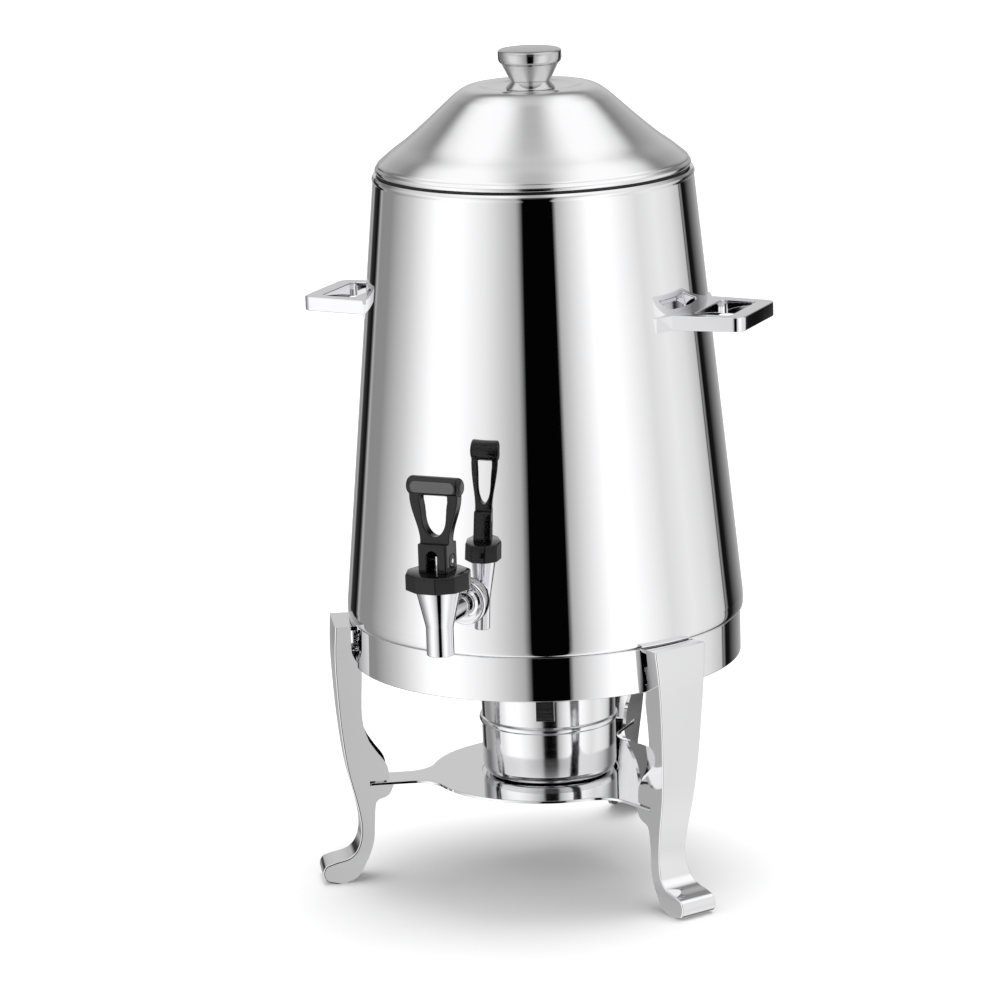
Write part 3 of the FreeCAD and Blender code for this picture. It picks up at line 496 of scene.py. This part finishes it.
# %% Side view of a leg
LEG_STANDOFF = 14.0
LEG_FACE = ((0.0, 1.0), (1.0, 0.88), (0.2, 0.75), (-1.7, 0.60), (-5.4, 0.44), (-11.8, 0.29),
            (-13.8, 0.20), (-11.2, 0.135), (-4.7, 0.098), (7.0, 0.080))
SHEET = 2.4
FLANGE_GAP = 3.0
SLOT_BELOW = 2.0
SLOT_ABOVE = 1.4
stand_height = ring_high.z / MM
ring_foot = ring_low.z / MM
shelf_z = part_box("shelf_plate")[1].z / MM


def leg_front_line():
    """The curled face from its top to the toe, then round the nose to the floor."""
    root = ring_radius + LEG_STANDOFF
    face = curve(*[(root + out, share * stand_height) for out, share in LEG_FACE], steps=10)
    toe_x, toe_z = face[-1]
    nose = toe_z / 2
    tip = curve((toe_x, toe_z), (toe_x + 0.72 * nose, toe_z - 0.3 * nose), (toe_x + nose, nose),
                (toe_x + 0.7 * nose, 0.27 * nose), (toe_x - 0.2 * nose, 0.0), steps=6)
    return face + tip[1:]


def leg_back_line():
    """The flange's inner edge, from the cap, past the ring and the shelf's slot, to the floor."""
    root = ring_radius
    free = root + FLANGE_GAP
    slot_low, slot_high = shelf_z - SLOT_BELOW, shelf_z + SLOT_ABOVE
    hip = curve((free, ring_foot + 18), (free - 0.3, ring_foot + 12), (root + 0.5, ring_foot + 6.5),
                (root - 1.3, ring_foot + 4), (root - 1.3, ring_foot), steps=4)
    sweep = curve((root - 4, ring_foot - 0.1), (root - 3, slot_high + 49), (root - 6.5, slot_high + 32),
                  (root - 12, slot_high + 22), (root - 19, slot_high + 12), (root - 21, slot_high + 4), steps=6)
    slot = [(root - 21, slot_high), (root - 7, slot_high), (root - 7, slot_low)]
    foot = curve((root - 24, slot_low), (root - 21, slot_low - 6.5), (root - 17.5, slot_low - 9),
                 (root - 12.6, slot_low - 11), (root - 10.4, slot_low - 16.5), (root - 8.6, 30.0),
                 (root - 3, 15.0), (root + 4, 4.0), (root + 14, 0.0), steps=6)
    return [(free, stand_height)] + hip + sweep + slot + foot


# %% Width and front of a leg at a height
LEG_WIDTHS = ((-20.0, 29.0), (11.2, 29.0), (24.0, 26.0), (41.2, 23.1), (75.0, 27.0), (108.8, 31.6),
              (148.0, 36.6), (187.5, 43.0), (200.0, 45.0))


def read_line(line, height):
    """The value of a line of (height, value) pairs, from the lowest up, at a height in metres."""
    for (low, start), (high, end) in zip(line, line[1:]):
        if height / MM <= high:
            return (start + (end - start) * (height / MM - low) / (high - low)) * MM
    return line[-1][1] * MM


width_line = curve(*LEG_WIDTHS, steps=8)
reach_line = [(z, x) for x, z in leg_front_line()[::-1]]


# %% Fold one leg
LEVEL_STEP = 4.0
LEG_BEND = 1.2
CAP_GAP = 0.15
EDGE_ROUND = 0.5
WIDEST = LEG_WIDTHS[-1][1] / 2
FLANGE_DRAFT = math.tan(math.radians(3.0))


def pulled(bm, edges, place):
    """Extrudes a line of edges and sends each new point where the place function says."""
    made = bmesh.ops.extrude_edge_only(bm, edges=edges)["geom"]
    for item in made:
        if isinstance(item, bmesh.types.BMVert):
            item.co = place(item.co)


def cap_back_edges(bm, x, z):
    """The open edges along the back of the cap."""
    return [line for line in bm.edges if line.is_boundary
            and all(abs(vert.co.x - x) < 1e-7 and abs(vert.co.z - z) < 1e-7 for vert in line.verts)]


def leg_channel(direction):
    """A folded channel leg, turned to its direction in degrees from the tap towards +X."""
    bm = bmesh.new()
    corner = [bm.verts.new((x * MM, WIDEST * MM, z * MM)) for x, z in leg_front_line()]
    rim = [bm.verts.new((x * MM, WIDEST * MM, z * MM)) for x, z in leg_back_line()]
    bm.faces.new(corner + rim[::-1])
    folds = [bm.edges.get(pair) for pair in zip(corner, corner[1:])]
    top = bm.edges.get((corner[0], rim[0]))
    pulled(bm, folds + [top], lambda at: Vector((at.x, 0, at.z)))
    cap_x, cap_z = rim[0].co.x, rim[0].co.z
    bmesh.ops.subdivide_edges(bm, edges=cap_back_edges(bm, cap_x, cap_z), cuts=5)
    ring = (ring_radius + CAP_GAP) * MM
    pulled(bm, cap_back_edges(bm, cap_x, cap_z), lambda at: Vector((math.sqrt(ring ** 2 - at.y ** 2), at.y, at.z)))
    bmesh.ops.bevel(bm, geom=folds, affect="EDGES", offset=LEG_BEND * MM, segments=5, profile=0.5, material=-1)
    for level in range(1, int(stand_height / LEVEL_STEP)):
        bmesh.ops.bisect_plane(bm, geom=bm.verts[:] + bm.edges[:] + bm.faces[:], dist=0.001 * MM,
                               plane_co=(0, 0, level * LEVEL_STEP * MM), plane_no=(0, 0, 1))
    for vert in bm.verts:
        vert.co.z = max(0.0, vert.co.z)
        share = vert.co.y / (WIDEST * MM)
        behind = max(0.0, read_line(reach_line, vert.co.z) - vert.co.x)
        vert.co.y = share * (read_line(width_line, vert.co.z) / 2 - behind * FLANGE_DRAFT)
    bmesh.ops.mirror(bm, geom=bm.verts[:] + bm.edges[:] + bm.faces[:], axis="Y", merge_dist=0.001 * MM)
    bmesh.ops.transform(bm, matrix=Matrix.Rotation(math.radians(direction - 90), 4, "Z"), verts=bm.verts)
    return bm


def fold_leg(name, node, direction):
    """One leg with its sheet thickness and softened edges."""
    leg = piece(leg_channel(direction), name, "stand", steel_look, [node], crease=40)
    sheet = leg.modifiers.new("sheet thickness", "SOLIDIFY")
    sheet.thickness = SHEET * MM
    sheet.offset = -1
    sheet.use_even_offset = True
    soft = leg.modifiers.new("soft edge", "BEVEL")
    soft.limit_method = "ANGLE"
    soft.angle_limit = math.radians(40)
    soft.width = EDGE_ROUND * MM
    soft.segments = 3
    soft.harden_normals = True
    even = leg.modifiers.new("flat faces stay flat", "WEIGHTED_NORMAL")
    even.keep_sharp = True
    return leg


fold_leg("leg_left", "leg_front_left", -60)
fold_leg("leg_right", "leg_front_right", 60)
fold_leg("leg_back", "leg_rear", 180)

# %% [markdown]
# ## Pieces that the frame already shapes well
#
# The handles, shelf, damper and lever were made as solids, and their shape is right. A
# copy is merged, its flat triangles are dissolved into whole faces, and its sharp edges are
# rounded, so the light runs along them.

# %% Refine a copy of a frame piece
def refined(node, name, body, look, edge, crease=25, flat=0.5):
    """A copy of a frame piece with whole flat faces and softened edges."""
    bm = bmesh.new()
    bm.from_mesh(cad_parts[node].data)
    bmesh.ops.remove_doubles(bm, verts=bm.verts, dist=0.005 * MM)
    bmesh.ops.dissolve_limit(bm, angle_limit=math.radians(flat), verts=bm.verts, edges=bm.edges,
                             use_dissolve_boundaries=False)
    return piece(bm, name, body, look, [node], crease=crease, edge=edge)


refined("shelf_plate", "shelf", "stand", steel_look, edge=0.4)
refined("handle_left", "handle_loop_left", "urn", plate_look, edge=0.45)
refined("handle_right", "handle_loop_right", "urn", plate_look, edge=0.45)
refined("burner_damper", "damper_plate", "damper", satin_look, edge=0.25)

# %% [markdown]
# ## The burner
#
# A cup with a rolled bead, and a cover that stands on it. Both are thin, so the outline gives
# the inner face as well, down to the floor of the cup. They are spun like the body and the lid,
# and brushed, so what they mirror is softer than in the body.

# %% Cup and cover
cup_low, cup_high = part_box("burner_cup")
cover_low, cover_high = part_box("burner_cover")
BURNER_RADIUS = 47.0
MOUTH_RADIUS = 28.0


def cup_outline():
    """The cup's section, from the middle of its foot up the wall to the bead and down inside."""
    low, top = cup_low.z / MM, cup_high.z / MM
    outer = curve((BURNER_RADIUS - 7, low), (BURNER_RADIUS - 2.05, low + 2.05), (BURNER_RADIUS, low + 7), steps=6)
    bead = curve((BURNER_RADIUS, top - 5.2), (BURNER_RADIUS + 1.3, top - 4.3), (BURNER_RADIUS + 1.8, top - 2.5),
                 (BURNER_RADIUS + 1.3, top - 0.8), (BURNER_RADIUS, top), steps=4)
    inner = curve((BURNER_RADIUS - WALL, low + 7), (BURNER_RADIUS - 2.75, low + 2.75),
                  (BURNER_RADIUS - 7, low + WALL), steps=6)
    return [(0, low)] + outer + bead + [(BURNER_RADIUS - WALL, top)] + inner + [(0, low + WALL)]


def cover_outline():
    """The cover's section: wall, rounded edge, mouth and the lip that enters the cup."""
    low, foot, top = cover_low.z / MM, cup_high.z / MM, cover_high.z / MM
    lip = BURNER_RADIUS - WALL - 0.3
    roll = curve((BURNER_RADIUS, top - 2.5), (BURNER_RADIUS - 0.73, top - 0.73), (BURNER_RADIUS - 2.5, top), steps=5)
    mouth = [(MOUTH_RADIUS, top), (MOUTH_RADIUS, top - 2.4), (MOUTH_RADIUS + WALL, top - 2.4),
             (MOUTH_RADIUS + WALL, top - WALL)]
    inside = [(BURNER_RADIUS - 2.5, top - WALL), (lip - WALL, top - 2.5), (lip - WALL, low), (lip, low), (lip, foot)]
    return [(BURNER_RADIUS, foot)] + roll + mouth + inside


piece(turned(cup_outline(), closed=False, steps=128), "burner_pot", "burner", burner_look, ["burner_cup"], crease=40)
piece(turned(cover_outline(), steps=128), "burner_lid", "cover", burner_look, ["burner_cover"], crease=40, edge=0.2)

# %% [markdown]
# ## The tap
#
# The spout is turned about its own axis, out in front of the body. The spin is made at the
# origin and then moved, and the shank is a second spin laid on its side. The nut has ten flat
# sides, which is a circle with ten points, grown upwards and bevelled.

# %% Spout and shank
tap_low, tap_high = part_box("tap_body")
nut_low, nut_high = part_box("tap_bonnet")
SPOUT_RADIUS = 9.3
CONE_RADIUS = 15.6
CONE_HEIGHT = 26.5
BORE_RADIUS = 7.4
THROAT_RADIUS = 4.6
SHANK_RADIUS = 7.6
SHANK_BORE = 4.4
SHANK_SHOULDER = 39.3
SHANK_END = 57.9
TAP_STANDOFF = 42.8
TAP_HEIGHT = 38.0
tap_y = -(FOOT_RADIUS + TAP_STANDOFF)
shank_z = stand_height + TAP_HEIGHT


def move(bm, x=0.0, y=0.0, z=0.0, turn=0.0, about="X"):
    """Turns a whole bmesh by degrees about an axis, then moves it by millimetres."""
    bmesh.ops.transform(bm, matrix=Matrix.Rotation(math.radians(turn), 4, about), verts=bm.verts)
    bmesh.ops.translate(bm, vec=(x * MM, y * MM, z * MM), verts=bm.verts)
    return bm


def joined(first, *others):
    """One bmesh that holds several."""
    for other in others:
        mesh = bpy.data.meshes.new("part")
        other.to_mesh(mesh)
        first.from_mesh(mesh)
        bpy.data.meshes.remove(mesh)
        other.free()
    return first


def spout_outline():
    """The spout and its cone outside, and the seat that the stem closes inside."""
    low, cone_top, top = tap_low.z / MM, nut_low.z / MM, tap_high.z / MM
    bend = cone_top - CONE_HEIGHT
    outer = [(BORE_RADIUS, low), (SPOUT_RADIUS - 0.4, low), (SPOUT_RADIUS, low + 0.4)]
    flare = curve((SPOUT_RADIUS, bend - 1.5), (SPOUT_RADIUS + 0.15, bend + 0.3),
                  (SPOUT_RADIUS + 0.6, bend + 2.2), steps=4)
    cup = [(CONE_RADIUS, cone_top), (14.0, cone_top), (14.0, top), (12.2, top), (12.2, cone_top - 2)]
    seat = [(7.9, shank_z - 7.4), (THROAT_RADIUS, shank_z - 7.4), (THROAT_RADIUS, shank_z - 9.6),
            (BORE_RADIUS, shank_z - 12.6)]
    return outer + flare + cup + seat


def shank_outline():
    """A thick-walled pipe from the spout, with a shoulder that bears on the flange."""
    root = SPOUT_RADIUS - 1.5
    return [(SHANK_BORE, root), (SHANK_RADIUS + 0.8, root), (SHANK_RADIUS + 0.8, SHANK_SHOULDER),
            (SHANK_RADIUS, SHANK_SHOULDER), (SHANK_RADIUS, SHANK_END), (SHANK_BORE, SHANK_END)]


spout = move(turned(spout_outline(), steps=96), y=tap_y)
shank = move(turned(shank_outline(), steps=64), y=tap_y, z=shank_z, turn=-90)
piece(joined(spout, shank), "tap_spout", "urn", plate_look, ["tap_body"], crease=30, edge=0.25)

# %% Ten-sided nut
NUT_SIDES = 10
NUT_RADIUS = 22.3
HALF_SIDE = 180 / NUT_SIDES


def bonnet_nut():
    """The nut with a flat side to the front and a bevelled crown."""
    low, high = nut_low.z, nut_high.z
    bm = bmesh.new()
    bmesh.ops.create_circle(bm, cap_ends=True, segments=NUT_SIDES, radius=NUT_RADIUS * MM)
    move(bm, turn=HALF_SIDE, about="Z")
    grown = bmesh.ops.extrude_face_region(bm, geom=bm.faces[:])["geom"]
    top = [item for item in grown if isinstance(item, bmesh.types.BMVert)]
    bmesh.ops.translate(bm, vec=(0, 0, high - low), verts=top)
    crown = [line for line in bm.edges if all(vert in top for vert in line.verts)]
    bmesh.ops.bevel(bm, geom=crown, affect="EDGES", offset=1.3 * MM, segments=2, profile=0.5, material=-1)
    return move(bm, y=tap_y, z=low / MM)


piece(bonnet_nut(), "tap_nut", "urn", plastic_look, ["tap_bonnet"], crease=30, edge=0.5)

# %% [markdown]
# The lever is one moulding: block, open fork and grip. Melting the frame's solid into fine
# voxels and relaxing them rounds every edge by the same half millimetre, as a mould does.

# %% Lever
def moulded(node, name, body, look, voxel, relax):
    """A copy of a frame piece whose edges are rounded all over, as on a moulding."""
    bm = bmesh.new()
    bm.from_mesh(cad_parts[node].data)
    made = piece(bm, name, body, look, [node], crease=180)
    remesh = made.modifiers.new("voxels", "REMESH")
    remesh.mode = "VOXEL"
    remesh.voxel_size = voxel * MM
    remesh.use_smooth_shade = True
    smooth = made.modifiers.new("relax", "SMOOTH")
    smooth.factor = 0.5
    smooth.iterations = relax
    return made


moulded("tap_lever", "tap_handle", "lever", lever_look, voxel=0.4, relax=5)

# %% [markdown]
# The valve's spring is caught between the nut and the collar of the stem. When the lever draws
# the stem up, the real coil gets shorter from below by the same amount; here it keeps the frame's
# shape, on a mesh of its own.

# %% Valve spring
spring = refined("tap_spring", "valve_spring", "urn", wire_look, edge=0)
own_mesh(spring)

# %% [markdown]
# ## Small pieces kept from the frame
#
# Screws, washers, seals and the inner parts of the tap keep the frame's own shapes. Each gets
# the finish of its metal or rubber.

# %% Finishes for kept pieces
KEPT = {
    satin_look: ("ring_ledge", "base_pan", "leg_bolts", "knob_washer", "knob_screw", "handle_screws",
                 "tap_shank_nut", "tap_stem", "lever_pin", "damper_rivet"),
    silicone_look: ("handle_washers", "tap_gasket_outer", "tap_gasket_inner", "tap_seat_cup"),
    plate_look: ("tap_flange",),
}
for look, names in KEPT.items():
    for name in names:
        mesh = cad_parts[name].data
        mesh.materials.clear()
        mesh.materials.append(look)
print("kept pieces", sum(len(names) for names in KEPT.values()))

# %% [markdown]
# ## The studio
#
# A mirror shows the room, so the room is the picture. Two tall bright panels stand either side
# of the camera with a dark gap between them. The gap draws the black stripe down the body, and
# dark flags far round the sides draw its edges. The lid tilts up, so it shows the upper walls and
# the ceiling, which is grey over the middle and bright to both sides. All of it depends only on
# direction, so the world can hold it. Each table pairs a place with a light: degrees round from
# the camera for the walls, and for the ceiling 1 is towards the camera and -1 away from it.

# %% Panels, upper walls and ceiling, by direction
VIEW_AZIMUTH = 23.0
PANELS = (
    (-180, 0.52), (-168, 0.40), (-165, 0.22), (-161, 0.46), (-156, 0.04), (-145, 0.002), (-142.5, 0.11),
    (-140, 0.50), (-137, 0.28), (-122, 0.29), (-98, 0.66), (-75, 1.14), (-55, 1.18), (-35, 0.92), (-13, 0.46),
    (-8.5, 0.001), (13.0, 0.001), (15.5, 0.50), (24, 0.78), (38, 1.16), (52, 1.20), (78, 0.82), (95, 0.93),
    (112, 0.82), (126.5, 0.58), (127.8, 0.06), (130, 0.34), (131.5, 0.004), (138, 0.01), (150, 0.2),
    (165, 0.42), (180, 0.52))
UPPER_WALLS = (
    (-180, 0.64), (-170, 0.62), (-162, 0.54), (-154, 0.44), (-145, 0.34), (-138, 0.21), (-128, 0.20), (-110, 0.60),
    (-90, 0.85), (-50, 0.95), (-14, 0.50), (-9, 0.05), (13, 0.05), (18, 0.50), (50, 0.95), (90, 0.85), (110, 0.60),
    (128, 0.20), (138, 0.21), (145, 0.34), (154, 0.44), (162, 0.54), (170, 0.62), (180, 0.64))
CEILING_MIDDLE = (
    (-1.0, 0.25), (-0.70, 0.25), (-0.50, 0.40), (-0.35, 0.52), (-0.1, 0.60), (0.04, 0.48), (1.0, 0.46))
CEILING_SIDES = (
    (-1.0, 0.25), (-0.62, 0.28), (-0.46, 0.85), (-0.32, 1.08), (-0.2, 1.12), (0.0, 1.10), (1.0, 1.10))
WALL_TOP = (0.02, 0.16)
CEILING_EDGE = (0.50, 0.70)
CEILING_GREY = (0.03, 0.34)


def light_ramp(nodes, links, value, low, high, stops):
    """Greys along a value that runs from low to high."""
    share = nodes.new("ShaderNodeMapRange")
    share.inputs["From Min"].default_value = low
    share.inputs["From Max"].default_value = high
    links.new(value, share.inputs["Value"])
    band = nodes.new("ShaderNodeValToRGB")
    ramp = band.color_ramp.elements
    for place, light in stops[1:-1]:
        ramp.new((place - low) / (high - low))
    for stop, (place, light) in zip(ramp, stops):
        stop.position = (place - low) / (high - low)
        stop.color = (light, light, light, 1)
    links.new(share.outputs["Result"], band.inputs["Fac"])
    return band.outputs["Color"]


def soft_step(nodes, links, value, between):
    """0 below the first of two places, 1 above the second, and a smooth rise between them."""
    step = nodes.new("ShaderNodeMapRange")
    step.interpolation_type = "SMOOTHSTEP"
    step.inputs["From Min"].default_value = between[0]
    step.inputs["From Max"].default_value = between[1]
    links.new(value, step.inputs["Value"])
    return step.outputs["Result"]


def blend(nodes, links, share, first, second):
    """Goes from the first light to the second as share goes from 0 to 1."""
    mix = nodes.new("ShaderNodeMix")
    mix.data_type = "RGBA"
    links.new(share, mix.inputs["Factor"])
    links.new(first, mix.inputs["A"])
    if second:
        links.new(second, mix.inputs["B"])
    return mix


def studio_world():
    """The room as the mirrors see it. The camera itself sees plain white behind the urn."""
    world = bpy.data.worlds.new("studio")
    world.use_nodes = True
    nodes, links = world.node_tree.nodes, world.node_tree.links
    place = nodes.new("ShaderNodeTexCoord")
    turn = nodes.new("ShaderNodeMapping")
    turn.inputs["Rotation"].default_value = (0, 0, math.radians(-VIEW_AZIMUTH))
    split = nodes.new("ShaderNodeSeparateXYZ")
    back = nodes.new("ShaderNodeMath")
    back.operation = "MULTIPLY"
    back.inputs[1].default_value = -1
    angle = nodes.new("ShaderNodeMath")
    angle.operation = "ARCTAN2"
    degrees = nodes.new("ShaderNodeMath")
    degrees.operation = "DEGREES"
    links.new(place.outputs["Generated"], turn.inputs["Vector"])
    links.new(turn.outputs["Vector"], split.inputs["Vector"])
    links.new(split.outputs["Y"], back.inputs[0])
    links.new(split.outputs["X"], angle.inputs[0])
    links.new(back.outputs["Value"], angle.inputs[1])
    links.new(angle.outputs["Value"], degrees.inputs[0])
    walls = light_ramp(nodes, links, degrees.outputs["Value"], -180, 180, PANELS)
    upper = light_ramp(nodes, links, degrees.outputs["Value"], -180, 180, UPPER_WALLS)
    aside = nodes.new("ShaderNodeMath")
    aside.operation = "ABSOLUTE"
    links.new(split.outputs["X"], aside.inputs[0])
    middle = light_ramp(nodes, links, back.outputs["Value"], -1, 1, CEILING_MIDDLE)
    sides = light_ramp(nodes, links, back.outputs["Value"], -1, 1, CEILING_SIDES)
    ceiling = blend(nodes, links, soft_step(nodes, links, aside.outputs["Value"], CEILING_GREY), middle, sides)
    room = blend(nodes, links, soft_step(nodes, links, split.outputs["Z"], WALL_TOP), walls, upper)
    room = blend(nodes, links, soft_step(nodes, links, split.outputs["Z"], CEILING_EDGE),
                 room.outputs["Result"], ceiling.outputs["Result"])
    seen = nodes.new("ShaderNodeLightPath")
    backdrop = blend(nodes, links, seen.outputs["Is Camera Ray"], room.outputs["Result"], None)
    backdrop.inputs["B"].default_value = (1, 1, 1, 1)
    links.new(backdrop.outputs["Result"], nodes["Background"].inputs["Color"])
    bpy.context.scene.world = world


studio_world()
bpy.context.scene.view_settings.view_transform = "Standard"

# %% Floor
FLOOR_SIZE = 30.0


def pale_floor():
    """A wide pale floor that takes the soft shadow but isn't mirrored in the steel."""
    bm = bmesh.new()
    bmesh.ops.create_grid(bm, x_segments=1, y_segments=1, size=FLOOR_SIZE)
    mesh = bpy.data.meshes.new("floor")
    bm.to_mesh(mesh)
    bm.free()
    floor = bpy.data.objects.new("floor", mesh)
    bpy.context.scene.collection.objects.link(floor)
    look = bpy.data.materials.new("pale floor")
    look.use_nodes = True
    shader = look.node_tree.nodes["Principled BSDF"]
    shader.inputs["Base Color"].default_value = (0.92, 0.92, 0.92, 1)
    shader.inputs["Roughness"].default_value = 0.8
    shader.inputs["Specular IOR Level"].default_value = 0.1
    mesh.materials.append(look)
    floor.visible_glossy = False


pale_floor()

# %% Soft key light and top light
def soft_sun(name, strength, spread, tilt, heading):
    """A wide sun, tilted from straight down and then turned, in degrees."""
    light = bpy.data.lights.new(name, "SUN")
    light.energy = strength
    light.angle = math.radians(spread)
    sun = bpy.data.objects.new(name, light)
    sun.rotation_euler = (math.radians(tilt), 0, math.radians(heading))
    sun.visible_glossy = False
    bpy.context.scene.collection.objects.link(sun)


soft_sun("key", 1.65, 50, -18, 5)
soft_sun("top", 0.6, 90, 0, 0)

# %% [markdown]
# ## The camera
#
# The photograph was taken with a long lens from a little above the lid. The view was worked
# out from the ring, the rim and the body's sides, so the model falls on the photograph.

# %% Camera
CAMERA_DISTANCE = 3.2581
CAMERA_HEIGHT = 1.0193
CAMERA_PITCH = 13.02
CAMERA_YAW = -0.52
CAMERA_ROLL = -1.78
CAMERA_LENS = 172.8


def photo_camera():
    """The camera that the photograph was taken with, as far as its outlines tell."""
    data = bpy.data.cameras.new("photo camera")
    data.lens = CAMERA_LENS
    data.sensor_width = 36.0
    data.clip_end = 100.0
    camera = bpy.data.objects.new("photo camera", data)
    bpy.context.scene.collection.objects.link(camera)
    azimuth = math.radians(VIEW_AZIMUTH)
    place = Vector((CAMERA_DISTANCE * math.sin(azimuth), -CAMERA_DISTANCE * math.cos(azimuth), CAMERA_HEIGHT))
    camera.matrix_world = (
        Matrix.Translation(place)
        @ Matrix.Rotation(math.radians(VIEW_AZIMUTH - CAMERA_YAW), 4, "Z")
        @ Matrix.Rotation(math.radians(90 - CAMERA_PITCH), 4, "X")
        @ Matrix.Rotation(math.radians(CAMERA_ROLL), 4, "Z"))
    bpy.context.scene.camera = camera


photo_camera()
